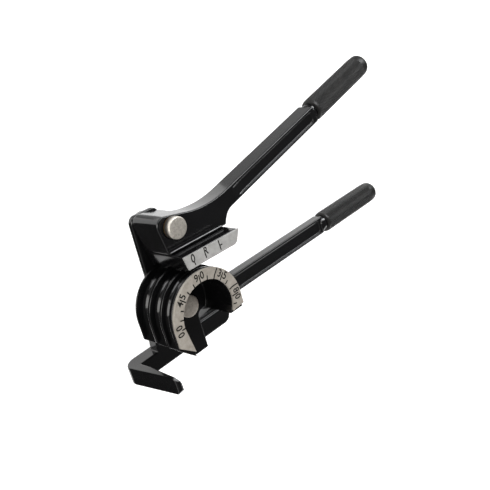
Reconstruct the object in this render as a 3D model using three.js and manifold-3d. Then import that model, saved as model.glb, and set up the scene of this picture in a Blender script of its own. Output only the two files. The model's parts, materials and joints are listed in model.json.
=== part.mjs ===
// Hand tube bender for three tube sizes, in millimetres.
// The forming wheel's axis is Z, the lower handle runs along +X, and the origin is the centre of
// the pivot pin's rear end, so the tool lies on its back with its dial up.
import * as THREE from 'three';
import { ConvexGeometry } from 'three/addons/geometries/ConvexGeometry.js';
import { mergeVertices } from 'three/addons/utils/BufferGeometryUtils.js';
import Module from 'manifold-3d';

const wasm = await Module();
wasm.setup();

// Fits and small edges
const gap = 0.3;              // between pieces that touch or turn on each other
const runningGap = 0.4;       // between the link and the castings it turns between
const overrun = 1;            // how far a cutter passes the face it opens
const castEdge = 0.7;         // rounded edge of the castings
const turnedEdge = 0.4;       // broken edge of turned pieces
const edgeSteps = 2;
const curveSteps = 5;         // steps of a curve in an outline; an arc has twice as many
const cornerSteps = 2;        // the same, for small corners
const roundSteps = 9;         // the same, for half-round ends

// Grooves of the forming wheel, from the back one to the front one, by the tube size each takes
const tubeSizes = [10, 8, 6];
const grooveEase = 0.2;       // groove width over tube size
const grooveSinkShare = 0.19; // of the tube size: how deep its centre lies under the rim
const grooveSteps = 8;
const wheelSteps = 30;        // over half a turn
const rimRadius = 24.3;
const rearRimThickness = 1.2;
const rimThickness = 2.1;
const frontRimThickness = 2.8;
const rimEdge = 0.3;

// Stack along the axis, from the back
const tailLength = 3.7;       // pin tail behind the handle casting
const barThickness = 7.5;     // handle casting: bar, hub and neck
const linkThickness = 3.5;
const bossDepth = 10;         // of the lever's boss, behind its web
const leverThickness = 12.6;

// Forming wheel: cup, leg and cut ends
const bandDepth = 12.3;       // of the grooved band, under the rim
const bandRadius = rimRadius - bandDepth;
const coreRadius = bandRadius + overrun;
const dialWidth = 6.45;
const cupRadius = rimRadius - dialWidth;
const floorThickness = 10.6;
const floorBossRadius = 8;
const floorBossHeight = 2.6;
const legRight = 8.9;         // right side of the leg, from the axis
const legReach = 9.3;         // past the rim
const legBottom = rimRadius + legReach;
const legCutTop = 11;         // where the slanted cut leaves the rim, below the axis
const legToe = 0.6;           // where the slanted cut meets the bottom, left of the axis
const legInnerDrop = 16;      // the cup's straight side: its lower end, below the axis
const legInnerLean = 2.25;    // and how far it has leant in there
const legInnerX = cupRadius - legInnerLean;
const endCut = 10;            // the 180 end of the rim, below the axis
const legFillet = 3.5;

// Dial ring
const dialThickness = 1.5;
const dialEndOuter = 7.6;     // the 180 end, below the axis
const dialEndInner = 8.2;
const dialLegOuter = 9;       // the 0 end, below the axis

// Handle casting
const hubRadius = 13;
const neckLeft = 16;
const neckRight = 18;
const neckTop = 6.5;          // its right side at the axis
const barHeight = 12.2;
const barDrop = 17.1;         // the bar's middle, below the axis
const barEnd = 146.3;         // where the grip starts, from the axis
const heelStart = 38;         // where the bar's lower edge starts to rise to the neck
const heelTop = 16.5;         // height of that edge at the neck, below the axis
const armRise = 2.1;          // the hook arm's middle, above the leg's bottom
const armDrop = legBottom - armRise;
const armHeight = 11;
const armThickness = 10.7;
const armReach = 36.4;        // centre of the arm's round end, from the axis
const hookPlay = 0.3;         // between the finger and what a groove takes
const fingerRoot = 7;         // thickness at the arm and at the tip
const fingerTip = 3.8;
const fingerPast = 2.2;       // tip, past the middle of the front groove
const hookCorner = 8.5;
const fingerBevel = 2.6;      // slanted entry along the finger's inner top edge
const tipBevel = 1.3;
const padLeft = 15.5;
const padRight = 7.5;
const padTop = 12;            // clear of the link's sweep, below the axis
const padInset = 1.6;         // inside the leg's slanted cut

// I section of the bars
const flange = 1.9;
const recessDepth = 1.3;
const recessCorner = 2;
const recessEnd = 6.5;        // from the recess's end to the grip
const recessRamp = 10;        // run over which the recess fades into the web
const handleRecessStart = 34;
const leverRecessStart = 58;

// Grips and the tangs inside them
const gripRadius = 7.6;
const gripLength = 61.5;
const gripCap = 11.5;         // solid end past the tang
const gripDome = 4.5;
const gripCrown = 0.5;
const gripLift = 0.1;         // lower grip, in front of the pivot pin's end
const tangRadius = 4.2;
const neckRadius = 5.7;       // round neck between the bar and the grip
const neckLength = 3;
const neckDome = 2.6;         // its rounded start on the bar
const neckStart = 3.4;        // radius of the dome's first edge
const tangLength = gripLength - gripCap;
const gripSegments = 32;

// Pins, bushes, washers, clips and screws
const shankRadius = 4;
const pivotHeadRadius = 6.4;
const pivotHeadHeight = 4.8;
const leverHeadRadius = 6.1;
const leverHeadHeight = 4.6;
const bushWall = 1.4;
const washerRadius = 7;
const washerThickness = 1;
const clipRadius = 5.6;
const clipThickness = 0.8;
const clipMouth = THREE.MathUtils.degToRad(70);
const clipNeckRadius = 3.2;
const tailTip = 1;            // pin beyond the clip's neck
const pinSegments = 28;
const screwRadius = 2.5;
const screwHeadRadius = 4.6;
const screwRim = 0.5;
const screwCone = 2.1;
const screwLength = 19;
const socketRadius = 1.7;
const socketDepth = 1.6;
const socketSides = 6;
const screwXs = [-9.5, 3.5];
const screwDrops = [17.5, 20.5];
const screwPlaces = screwXs.map((x, index) => ({ x, y: -screwDrops[index] }));

// Shoe and its pins and index plate
const shoePlay = 0.9;         // between the shoe and the rim
const shoeBottom = rimRadius + shoePlay;
const shoeHeight = 9.8;
const shoeFrontCut = 2;       // off the front wall, to show the dial
const shoeFrontBottom = shoeBottom + shoeFrontCut;
const footHeight = shoeBottom + shoeHeight; // underside of the lever's web, above the axis
const shoeLowerLeft = 5.1;
const shoeLowerRight = 28;
const shoeCorner = 30.6;      // where the rounded lower right corner would be square
const shoeNose = 31.6;
const shoeNoseRise = 5.1;     // of the corner's upper end, above the bottom
const shoeNoseHeight = shoeBottom + shoeNoseRise;
const shoeUpperRight = 33.7;
const channelEase = 0.2;
const tongueLeft = 2;
const tongueRight = 28;
const tongueDepth = 5;
const shoePinRadius = 1.6;
const shoePinDrop = 2.7;      // below the foot
const shoePinXs = [8, 22];

// Link
const pinRise = 13.3;         // of the lever pin, above the lever's foot
const pinDistance = footHeight + pinRise;
const linkHalfWidth = 9.8;
const linkTop = 7;            // above the lever pin
const linkCorner = 4.5;

// Lever: web, bar and foot, drawn with the foot along +X
const barAngle = THREE.MathUtils.degToRad(15.73);
const barRise = 0.1;          // of the bar's centre line over the foot, both from the wheel's axis
const barOffset = footHeight + barRise;
const leverBarHeight = 10.5;
const leverBarEnd = 145.6;    // along the bar
const footLeft = 6.8;
const footRight = 36;
const eyeLeft = 9.6;
const eyeTop = 7.5;           // above the lever pin
const eyeCorner = 5;
const eyeCornerTurn = THREE.MathUtils.degToRad(80);
const bossRight = 9.6;        // right side of the boss behind the web
const lipRise = 0.9;          // of the lip along the foot, in front of the web
const lipHeight = 0.8;        // flat edge of the lip
const lipFillet = 2.2;
const lipRight = 32;
const sweepRadius = 65;       // hollow of the web's top edge
const sweepX = 24;
const sweepEndX = 14.4;
const throatTurn = 48;        // along the bar: where the web's right side turns into it
const throatEnd = 53.3;       // and where it has run out

// Rest pose: the lever stands this far past the 90 mark
const restTurn = THREE.MathUtils.degToRad(-1.9);

// Heights that follow from the stack
const castingFront = tailLength + barThickness;
const gripHeight = gripRadius + gripLift;
const armBack = castingFront - armThickness;
const linkBack = castingFront + runningGap;
const linkFront = linkBack + linkThickness;
const wheelBack = linkFront + gap;
const bossBack = linkFront + gap;
const leverBack = bossBack + bossDepth;
const leverFront = leverBack + leverThickness;
const leverMiddle = leverBack + leverThickness / 2;
const floorTop = wheelBack + floorThickness;
const barTop = barHeight / 2 - barDrop;
const barBottom = -barHeight / 2 - barDrop;
const armTop = armHeight / 2 - armDrop;
const armBottom = -armHeight / 2 - armDrop;
const bushRadius = shankRadius + gap + bushWall;

// Each groove's width, middle height and centre-line radius, stacked from the wheel's back
const grooves = [];
let rimStart = wheelBack + rearRimThickness;
for (const tube of tubeSizes) {
  const width = tube + grooveEase;
  const bendRadius = rimRadius - grooveSinkShare * tube;
  grooves.push({ tube, width, middle: rimStart + width / 2, bendRadius });
  rimStart += width + rimThickness;
}
const [backGroove] = grooves;
const frontGroove = grooves[grooves.length - 1];
const wheelFront = rimStart - rimThickness + frontRimThickness;
const dialBack = wheelFront + gap;
const dialFront = dialBack + dialThickness;

// Solids from three.js geometries

function solidOf(geometry) {
  const bare = geometry.clone();
  bare.deleteAttribute('normal');
  bare.deleteAttribute('uv');
  const merged = mergeVertices(bare);
  const corners = merged.index.array;
  const kept = [];
  for (let i = 0; i < corners.length; i += 3) {
    const [a, b, c] = [corners[i], corners[i + 1], corners[i + 2]];
    if (a !== b && b !== c && c !== a) kept.push(a, b, c);
  }
  const vertProperties = new Float32Array(merged.attributes.position.array);
  const mesh = new wasm.Mesh({ numProp: 3, vertProperties, triVerts: new Uint32Array(kept) });
  return new wasm.Manifold(mesh);
}

function geometryOf(solid) {
  const { vertProperties, triVerts } = solid.getMesh();
  const geometry = new THREE.BufferGeometry();
  geometry.setAttribute('position', new THREE.BufferAttribute(vertProperties, 3));
  geometry.setIndex(new THREE.BufferAttribute(triVerts, 1));
  geometry.computeVertexNormals();
  return geometry;
}

function extruded(shape, length, edge, steps) {
  return new THREE.ExtrudeGeometry(shape, {
    depth: length - 2 * edge,
    curveSegments: steps,
    bevelEnabled: edge > 0,
    bevelThickness: edge,
    bevelSize: edge,
    bevelOffset: -edge,
    bevelSegments: edgeSteps,
  }).translate(0, 0, edge);
}

// An outline in X and Y, raised along Z
function plate(shape, low, high, edge = 0, steps = curveSteps) {
  return solidOf(extruded(shape, high - low, edge, steps).translate(0, 0, low));
}

// An outline in X and Z, drawn out along Y
function beam(shape, low, high, edge = 0) {
  const drawn = extruded(shape, high - low, edge, curveSteps);
  return solidOf(drawn.rotateX(Math.PI / 2).translate(0, high, 0));
}

// An outline in Y and Z, drawn out along X
function rail(shape, low, high) {
  const turn = new THREE.Matrix4().makeBasis(
    new THREE.Vector3(0, 1, 0), new THREE.Vector3(0, 0, 1), new THREE.Vector3(1, 0, 0),
  );
  const drawn = extruded(shape, high - low, 0, curveSteps);
  return solidOf(drawn.applyMatrix4(turn).translate(low, 0, 0));
}

// A profile of radius and height, turned about Z
function turned(profile, segments = pinSegments) {
  const points = profile.map(([radius, height]) => new THREE.Vector2(radius, height));
  return solidOf(new THREE.LatheGeometry(points, segments).rotateX(Math.PI / 2));
}

function rod(radius, low, high, segments = pinSegments) {
  return turned([[0, low], [radius, low], [radius, high], [0, high]], segments);
}

function ring(inner, outer, low, high) {
  return turned([[inner, low], [outer, low], [outer, high], [inner, high], [inner, low]]);
}

function box(left, bottom, right, top, low, high) {
  const block = new THREE.BoxGeometry(right - left, top - bottom, high - low);
  return solidOf(block.translate((left + right) / 2, (bottom + top) / 2, (low + high) / 2));
}

function outline(points) {
  return new THREE.Shape(points.map(([x, y]) => new THREE.Vector2(x, y)));
}

function roundedSlot(left, bottom, right, top, corner) {
  const shape = new THREE.Shape();
  shape.absarc(right - corner, bottom + corner, corner, -Math.PI / 2, 0);
  shape.absarc(right - corner, top - corner, corner, 0, Math.PI / 2);
  shape.absarc(left + corner, top - corner, corner, Math.PI / 2, Math.PI);
  shape.absarc(left + corner, bottom + corner, corner, Math.PI, 1.5 * Math.PI);
  return shape;
}

// Forming wheel

// Radius and height along the rim, from the back face to the front face, over the three grooves
function rimProfile() {
  const points = [[rimRadius - rimEdge, wheelBack], [rimRadius, wheelBack + rimEdge]];
  for (const { width, middle, bendRadius } of grooves) {
    const half = width / 2;
    points.push([rimRadius, middle - half - rimEdge], [rimRadius - rimEdge, middle - half]);
    for (let step = 0; step <= grooveSteps; step++) {
      const turn = Math.PI * step / grooveSteps;
      points.push([bendRadius - half * Math.sin(turn), middle - half * Math.cos(turn)]);
    }
    points.push([rimRadius - rimEdge, middle + half], [rimRadius, middle + half + rimEdge]);
  }
  points.push([rimRadius, wheelFront - rimEdge], [rimRadius - rimEdge, wheelFront]);
  return points;
}

// The grooved band: the rim's section drawn up the leg, round the wheel and down to the 180 end
function groovedBand() {
  const section = outline([[bandRadius, wheelBack], ...rimProfile(), [bandRadius, wheelFront]]);
  const stations = wheelSteps + 2;
  const drawn = new THREE.ExtrudeGeometry(section, {
    depth: stations, steps: stations, bevelEnabled: false,
  });
  const points = drawn.attributes.position;
  for (let i = 0; i < points.count; i++) {
    const [radius, height, station] = [points.getX(i), points.getY(i), Math.round(points.getZ(i))];
    const step = THREE.MathUtils.clamp(station - 1, 0, wheelSteps);
    const turn = Math.PI * (1 - step / wheelSteps);
    const drops = { 0: legBottom, [stations]: endCut };
    const y = radius * Math.sin(turn) - (drops[station] ?? 0);
    points.setXYZ(i, radius * Math.cos(turn), y, height);
  }
  return solidOf(drawn);
}

// The wheel inside the band, with the leg's right side and its fillet to the 180 end
function corePlan() {
  const shape = new THREE.Shape();
  shape.moveTo(-coreRadius, -legBottom);
  shape.lineTo(legRight, -legBottom);
  shape.lineTo(legRight, -endCut - legFillet);
  const [filletX, filletY] = [legRight + legFillet, -endCut - legFillet];
  shape.absarc(filletX, filletY, legFillet, Math.PI, Math.PI / 2, true);
  shape.lineTo(coreRadius, -endCut);
  shape.absarc(0, 0, coreRadius, 0, Math.PI);
  return shape;
}

// What the slanted cut takes off the leg
function legCutPlan() {
  const slope = (legBottom - legCutTop) / (rimRadius - legToe);
  const left = -rimRadius - overrun;
  return outline([
    [left, slope * overrun - legCutTop], [left, -legBottom - overrun],
    [overrun / slope - legToe, -legBottom - overrun],
  ]);
}

// The cup's straight left side leans in from the bore to the dial's leg and on past the bottom
function cupPlan() {
  const lean = (cupRadius - legInnerX) / legInnerDrop;
  const depth = legBottom + overrun;
  const endTurn = -Math.asin(endCut / cupRadius);
  const shape = new THREE.Shape();
  shape.absarc(0, 0, cupRadius, endTurn, Math.PI);
  shape.lineTo(lean * depth - cupRadius, -depth);
  shape.lineTo(cupRadius * Math.cos(endTurn), -depth);
  return shape;
}

function formingWheel() {
  let wheel = groovedBand()
    .add(plate(corePlan(), wheelBack, wheelFront))
    .subtract(plate(legCutPlan(), 0, dialFront))
    .subtract(plate(cupPlan(), floorTop, dialFront, 0, wheelSteps / 2))
    .add(rod(floorBossRadius, floorTop - overrun, floorTop + floorBossHeight))
    .subtract(rod(shankRadius + gap, 0, dialFront));
  for (const { x, y } of screwPlaces) {
    const top = tailLength + screwLength + gap;
    wheel = wheel.subtract(rod(screwRadius + gap, 0, top).translate([x, y, 0]));
  }
  return wheel;
}

function dialRing() {
  const endTurn = -Math.asin(dialEndInner / cupRadius);
  const shape = new THREE.Shape();
  shape.moveTo(rimRadius, -dialEndOuter);
  shape.lineTo(rimRadius, 0);
  shape.absarc(0, 0, rimRadius, 0, Math.PI);
  shape.lineTo(-rimRadius, -dialLegOuter);
  shape.lineTo(-legInnerX, -legInnerDrop);
  shape.absarc(0, 0, cupRadius, Math.PI, endTurn, true);
  return plate(shape, dialBack, dialFront, turnedEdge / 2, wheelSteps / 2);
}

// Bars and grips

// Cutter for one face of an I section: a rounded recess that fades out at its start.
// It is drawn for a bar along X with its middle on the X axis, and opens upwards at the face.
function recessCutter(start, end, height, face, direction) {
  const half = height / 2 - flange;
  const [low, high] = [-recessDepth, overrun];
  const slot = plate(roundedSlot(start, -half, end, half, recessCorner), low, high, 0, cornerSteps);
  const ramp = beam(outline([
    [start, 0], [start + recessRamp, low], [end, low], [end, high], [start, high],
  ]), -half, half);
  const cutter = slot.intersect(ramp);
  return (direction > 0 ? cutter : cutter.rotate([180, 0, 0])).translate([0, 0, face]);
}

// A round neck and tang at the bar's end, along X
function tang(start) {
  const profile = [[0, -neckLength - neckDome]];
  for (let step = 0; step <= 2 * edgeSteps; step++) {
    const turn = Math.PI / 2 * step / (2 * edgeSteps);
    const radius = neckStart + (neckRadius - neckStart) * Math.sin(turn);
    profile.push([radius, -neckLength - neckDome * Math.cos(turn)]);
  }
  profile.push([neckRadius, 0], [tangRadius, 0], [tangRadius, tangLength], [0, tangLength]);
  return turned(profile).rotate([0, 90, 0]).translate([start, 0, 0]);
}

// A grip along X from zero: open end, knurled length, rounded far end, and the tang's bore
function grip() {
  const boreRadius = tangRadius + gap;
  const boreDepth = tangLength + gap;
  const profile = [[0, boreDepth], [boreRadius, boreDepth], [boreRadius, 0]];
  profile.push([gripRadius - turnedEdge, 0], [gripRadius, turnedEdge]);
  for (let step = 0; step <= edgeSteps * 2; step++) {
    const turn = Math.PI / 2 * step / (edgeSteps * 2);
    const radius = gripRadius - gripDome * (1 - Math.cos(turn));
    profile.push([radius, gripLength - gripCrown - gripDome * (1 - Math.sin(turn))]);
  }
  profile.push([0, gripLength]);
  return turned(profile, gripSegments).rotate([0, 90, 0]);
}

// Handle casting

function handleOutline() {
  const shape = new THREE.Shape();
  shape.moveTo(0, barTop);
  shape.lineTo(0, -heelTop);
  shape.lineTo(neckRight, -heelTop);
  shape.quadraticCurveTo((neckRight + heelStart) / 2, barBottom, heelStart, barBottom);
  shape.lineTo(barEnd - neckLength, barBottom);
  shape.lineTo(barEnd - neckLength, barTop);
  return shape;
}

// The finger's inner face keeps the same play to the tube in the back and the front groove
function innerFaceX(height) {
  const reachOf = (groove) => groove.bendRadius + groove.tube / 2 + hookPlay;
  const lean = (reachOf(backGroove) - reachOf(frontGroove))
    / (frontGroove.middle - backGroove.middle);
  return lean * (height - backGroove.middle) - reachOf(backGroove);
}

const fingerEnd = frontGroove.middle + fingerPast;
const hookOuter = innerFaceX(castingFront) - fingerRoot;

function hookOutline() {
  const [tipInner, tipOuter] = [innerFaceX(fingerEnd), innerFaceX(fingerEnd) - fingerTip];
  const shape = new THREE.Shape();
  shape.moveTo(0, armBack);
  shape.lineTo(0, castingFront);
  shape.lineTo(innerFaceX(castingFront), castingFront);
  shape.lineTo(tipInner, fingerEnd - tipBevel);
  shape.lineTo(tipInner - tipBevel, fingerEnd);
  shape.lineTo(tipOuter + tipBevel, fingerEnd);
  shape.lineTo(tipOuter, fingerEnd - tipBevel);
  shape.lineTo(hookOuter, armBack + hookCorner);
  shape.absarc(hookOuter + hookCorner, armBack + hookCorner, hookCorner, Math.PI, 1.5 * Math.PI);
  return shape;
}

// A slanted entry that widens towards the tip, along the finger's inner top edge
function fingerEntry() {
  const [low, high] = [castingFront + fingerBevel, fingerEnd + overrun];
  const [lowX, highX] = [innerFaceX(low), innerFaceX(high)];
  const points = [
    [lowX, armTop, low], [lowX + overrun, armTop + overrun, low],
    [highX - fingerBevel, armTop, high], [highX, armTop - 2 * fingerBevel, high],
    [highX + overrun, armTop + overrun, high],
  ];
  return solidOf(new ConvexGeometry(points.map((point) => new THREE.Vector3(...point))));
}

function padPlan() {
  const slope = (legBottom - legCutTop) / (rimRadius - legToe);
  const leftBottom = legCutTop + slope * (rimRadius - padLeft) - padInset;
  const bottom = legBottom - padInset;
  return outline([
    [-padLeft, -padTop], [-padLeft, -leftBottom], [-legToe - padInset / 2, -bottom],
    [padRight, -bottom], [padRight, -padTop],
  ]);
}

function handleCasting() {
  const hub = turned([
    [0, tailLength], [hubRadius - castEdge, tailLength], [hubRadius, tailLength + castEdge],
    [hubRadius, castingFront - castEdge], [hubRadius - castEdge, castingFront], [0, castingFront],
  ]);
  const neck = outline([
    [-neckLeft, armTop - castEdge], [neckRight, armTop - castEdge], [neckRight, -heelTop + castEdge],
    [neckTop, 0], [-hubRadius, 0],
  ]);
  const arm = roundedSlot(
    hookOuter + hookCorner, armBottom, armReach + armHeight / 2, armTop, armHeight / 2,
  );
  const hook = beam(hookOutline(), armBottom, armTop, castEdge).subtract(fingerEntry());
  const recess = recessCutter(handleRecessStart, barEnd - recessEnd, barHeight, 0, 1);
  const backRecess = recessCutter(handleRecessStart, barEnd - recessEnd, barHeight, 0, -1);
  let casting = hub
    .add(plate(neck, tailLength, castingFront))
    .add(plate(handleOutline(), tailLength, castingFront, castEdge))
    .add(plate(arm, armBack, castingFront, castEdge))
    .add(hook)
    .add(plate(padPlan(), castingFront - castEdge, linkFront))
    .add(tang(barEnd).translate([0, -barDrop, gripHeight]))
    .subtract(recess.translate([0, -barDrop, castingFront]))
    .subtract(backRecess.translate([0, -barDrop, tailLength]))
    .subtract(rod(shankRadius + gap, 0, dialFront));
  for (const { x, y } of screwPlaces) {
    casting = casting.subtract(screwCutter().translate([x, y, 0]));
  }
  return casting;
}

// Screws that hold the wheel's leg, from the back

function screwProfile(spare) {
  const head = tailLength + screwRim + spare;
  return [
    [0, tailLength], [screwHeadRadius + spare, tailLength], [screwHeadRadius + spare, head],
    [screwRadius + spare, head + screwCone],
    [screwRadius + spare, tailLength + screwLength], [0, tailLength + screwLength],
  ];
}

function screwCutter() {
  const mouth = rod(screwHeadRadius + gap, 0, tailLength + gap);
  return turned(screwProfile(gap)).add(mouth);
}

function wheelScrew() {
  const socket = rod(socketRadius, tailLength - overrun, tailLength + socketDepth, socketSides);
  return turned(screwProfile(0)).subtract(socket);
}

// Pins, washers and clips

// A headed pin: its head rests on one face, and its clip's neck lies behind another
function headedPin(headLow, headHeight, headRadius, rearFace) {
  const neckHigh = rearFace - gap - washerThickness;
  const neckLow = neckHigh - clipThickness - 2 * gap;
  const tip = neckLow - tailTip;
  const top = headLow + headHeight;
  return turned([
    [0, tip], [shankRadius - turnedEdge, tip], [shankRadius, tip + turnedEdge],
    [shankRadius, neckLow], [clipNeckRadius, neckLow], [clipNeckRadius, neckHigh],
    [shankRadius, neckHigh], [shankRadius, headLow],
    [headRadius - turnedEdge, headLow], [headRadius, headLow + turnedEdge],
    [headRadius, top - 2 * turnedEdge], [headRadius - turnedEdge / 2, top - turnedEdge / 2],
    [headRadius - 2 * turnedEdge, top], [0, top],
  ]);
}

function washer(rearFace) {
  const high = rearFace - gap;
  return ring(shankRadius + gap, washerRadius, high - washerThickness, high);
}

function clip(rearFace) {
  const high = rearFace - 2 * gap - washerThickness;
  const inner = clipNeckRadius + gap;
  const shape = new THREE.Shape();
  shape.absarc(0, 0, clipRadius, clipMouth / 2, 2 * Math.PI - clipMouth / 2);
  shape.absarc(0, 0, inner, 2 * Math.PI - clipMouth / 2, clipMouth / 2, true);
  return plate(shape, high - clipThickness, high, 0, roundSteps);
}

// Link

function link() {
  const [side, high] = [linkHalfWidth - linkCorner, pinDistance + linkTop - linkCorner];
  const shape = new THREE.Shape();
  shape.absarc(side, high, linkCorner, 0, Math.PI / 2);
  shape.absarc(-side, high, linkCorner, Math.PI / 2, Math.PI);
  shape.absarc(0, 0, linkHalfWidth, Math.PI, 2 * Math.PI);
  return plate(shape, linkBack, linkFront, castEdge, roundSteps)
    .subtract(rod(bushRadius + gap, 0, linkFront + overrun))
    .subtract(rod(shankRadius + gap, 0, linkFront + overrun).translate([0, pinDistance, 0]));
}

// Lever

// A point on the bar: how far along it, and how far above its centre line
function onBar(along, above) {
  const offset = barOffset + above;
  return [
    along * Math.cos(barAngle) - offset * Math.sin(barAngle),
    along * Math.sin(barAngle) + offset * Math.cos(barAngle),
  ];
}

function leverOutline() {
  const half = leverBarHeight / 2;
  // the hollow arc is tangent to the bar's top edge
  const topOffset = barOffset + half;
  const sweepY = (sweepRadius + topOffset + sweepX * Math.sin(barAngle)) / Math.cos(barAngle);
  const sweepStart = barAngle - Math.PI / 2;
  const sweepEnd = -Math.PI / 2 - Math.asin((sweepX - sweepEndX) / sweepRadius);
  const [cornerX, cornerY] = [eyeCorner - eyeLeft, pinDistance + eyeTop - eyeCorner];
  const shape = new THREE.Shape();
  shape.moveTo(-footLeft, footHeight);
  shape.lineTo(footRight, footHeight);
  shape.quadraticCurveTo(...onBar(throatTurn, -half), ...onBar(throatEnd, -half));
  shape.lineTo(...onBar(leverBarEnd - neckLength, -half));
  shape.lineTo(...onBar(leverBarEnd - neckLength, half));
  shape.absarc(sweepX, sweepY, sweepRadius, sweepStart, sweepEnd, true);
  shape.absarc(cornerX, cornerY, eyeCorner, eyeCornerTurn, Math.PI);
  return shape;
}

function ontoBar(solid) {
  const degrees = THREE.MathUtils.radToDeg(barAngle);
  return solid.rotate([0, 0, degrees]).translate([...onBar(0, 0), 0]);
}

// The eye's boss, which reaches back to the link, under the left end of the web
function leverBoss() {
  const side = box(
    -2 * eyeLeft, footHeight - overrun, bossRight, pinDistance + eyeTop + overrun,
    bossBack - overrun, leverBack + castEdge,
  );
  return plate(leverOutline(), bossBack, leverFront, castEdge).intersect(side);
}

// A lip along the foot's front edge, with a hollow fillet up to the web
function footLip() {
  const top = footHeight + lipHeight;
  const section = new THREE.Shape();
  section.moveTo(footHeight, leverFront - 2 * castEdge);
  section.lineTo(footHeight, leverFront + lipRise);
  section.lineTo(top, leverFront + lipRise);
  section.quadraticCurveTo(top, leverFront, top + lipFillet, leverFront);
  section.lineTo(top + lipFillet, leverFront - 2 * castEdge);
  return rail(section, castEdge - footLeft, lipRight);
}

function lever() {
  const recess = [leverRecessStart, leverBarEnd - recessEnd, leverBarHeight];
  const tongue = box(
    tongueLeft, footHeight - tongueDepth, tongueRight, footHeight + overrun, leverBack, leverFront,
  );
  const eye = rod(bushRadius + gap, bossBack - overrun, leverFront + overrun);
  let solid = plate(leverOutline(), leverBack, leverFront, castEdge)
    .add(leverBoss())
    .add(footLip())
    .add(tongue)
    .add(ontoBar(tang(leverBarEnd).translate([0, 0, leverMiddle])))
    .subtract(ontoBar(recessCutter(...recess, leverFront, 1)))
    .subtract(ontoBar(recessCutter(...recess, leverBack, -1)))
    .subtract(eye.translate([0, pinDistance, 0]));
  for (const x of shoePinXs) {
    solid = solid.subtract(shoePinAt(x, shoePinRadius + gap, shoeBack - overrun, dialFront));
  }
  return solid;
}

// Shoe

const shoeBack = wheelBack + rearRimThickness / 2;

function shoePinAt(x, radius, low, high) {
  return rod(radius, low, high, pinSegments / 2).translate([x, footHeight - shoePinDrop, 0]);
}

// The shoe's outline seen from the front, down to a given lower edge
function shoePlan(bottom, top) {
  const share = (top - bottom) / (footHeight - shoeFrontBottom);
  const lowerLeft = footLeft - (footLeft - shoeLowerLeft) * share;
  const shape = new THREE.Shape();
  shape.moveTo(-footLeft, top);
  shape.lineTo(-lowerLeft, bottom);
  shape.lineTo(shoeLowerRight, bottom);
  shape.quadraticCurveTo(shoeCorner, bottom, shoeNose, shoeNoseHeight);
  shape.lineTo(shoeUpperRight, top);
  return shape;
}

function shoe() {
  const top = footHeight - gap;
  let solid = plate(shoePlan(shoeBottom, top), shoeBack, wheelFront);
  const frontWall = frontGroove.middle + frontGroove.width / 2;
  const reach = footRight + overrun;
  solid = solid.subtract(
    box(-reach, shoeBottom - overrun, reach, shoeFrontBottom, frontWall, wheelFront + overrun),
  );
  for (const { tube, middle, bendRadius } of grooves) {
    const channel = new THREE.Shape();
    channel.absarc(bendRadius, middle, tube / 2 + channelEase, 0, 2 * Math.PI);
    solid = solid.subtract(rail(channel, -reach, reach));
  }
  const slot = box(
    tongueLeft - gap, footHeight - tongueDepth - gap, tongueRight + gap, footHeight + overrun,
    leverBack - gap, leverFront + gap,
  );
  solid = solid.subtract(slot);
  for (const x of shoePinXs) {
    solid = solid.subtract(shoePinAt(x, shoePinRadius + gap, shoeBack - overrun, wheelFront + overrun));
  }
  return solid;
}

// Finishes

const { MeshStandardMaterial } = THREE;
const blackPaint = new MeshStandardMaterial({ color: 0x141415, roughness: 0.3, metalness: 0 });
const bareMetal = new MeshStandardMaterial({ color: 0xb8b4ad, roughness: 0.45, metalness: 0.9 });
const pinSteel = new MeshStandardMaterial({ color: 0xa39d94, roughness: 0.4, metalness: 0.9 });
const gripPaint = new MeshStandardMaterial({ color: 0x2a2a2b, roughness: 0.55, metalness: 0.2 });
const bronze = new MeshStandardMaterial({ color: 0x9a7443, roughness: 0.4, metalness: 0.8 });

// Assembly: the link turns on the wheel's axis, and the lever turns on the link's pin

function place(group, name, solid, material) {
  const mesh = new THREE.Mesh(geometryOf(solid), material);
  mesh.name = name;
  group.add(mesh);
}

const base = new THREE.Group();
place(base, 'handle_casting', handleCasting(), blackPaint);
place(base, 'forming_wheel', formingWheel(), blackPaint);
place(base, 'dial_ring', dialRing(), bareMetal);
place(base, 'lower_grip', grip().translate([barEnd + gap, -barDrop, gripHeight]), gripPaint);
const pivotHeadLow = floorTop + floorBossHeight + gap;
const pivotPin = headedPin(pivotHeadLow, pivotHeadHeight, pivotHeadRadius, tailLength);
place(base, 'pivot_pin', pivotPin, pinSteel);
place(base, 'pivot_washer', washer(tailLength), pinSteel);
place(base, 'pivot_clip', clip(tailLength), pinSteel);
screwPlaces.forEach(({ x, y }, index) => {
  place(base, `wheel_screw_${index + 1}`, wheelScrew().translate([x, y, 0]), pinSteel);
});

const linkGroup = new THREE.Group();
const atPin = [0, pinDistance, 0];
place(linkGroup, 'link', link(), blackPaint);
place(linkGroup, 'pivot_bush', ring(shankRadius + gap, bushRadius, linkBack, linkFront), bronze);
const leverPin = headedPin(leverFront + gap, leverHeadHeight, leverHeadRadius, linkBack);
place(linkGroup, 'lever_pin', leverPin.translate(atPin), pinSteel);
place(linkGroup, 'lever_washer', washer(linkBack).translate(atPin), pinSteel);
place(linkGroup, 'lever_clip', clip(linkBack).translate(atPin), pinSteel);

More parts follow.
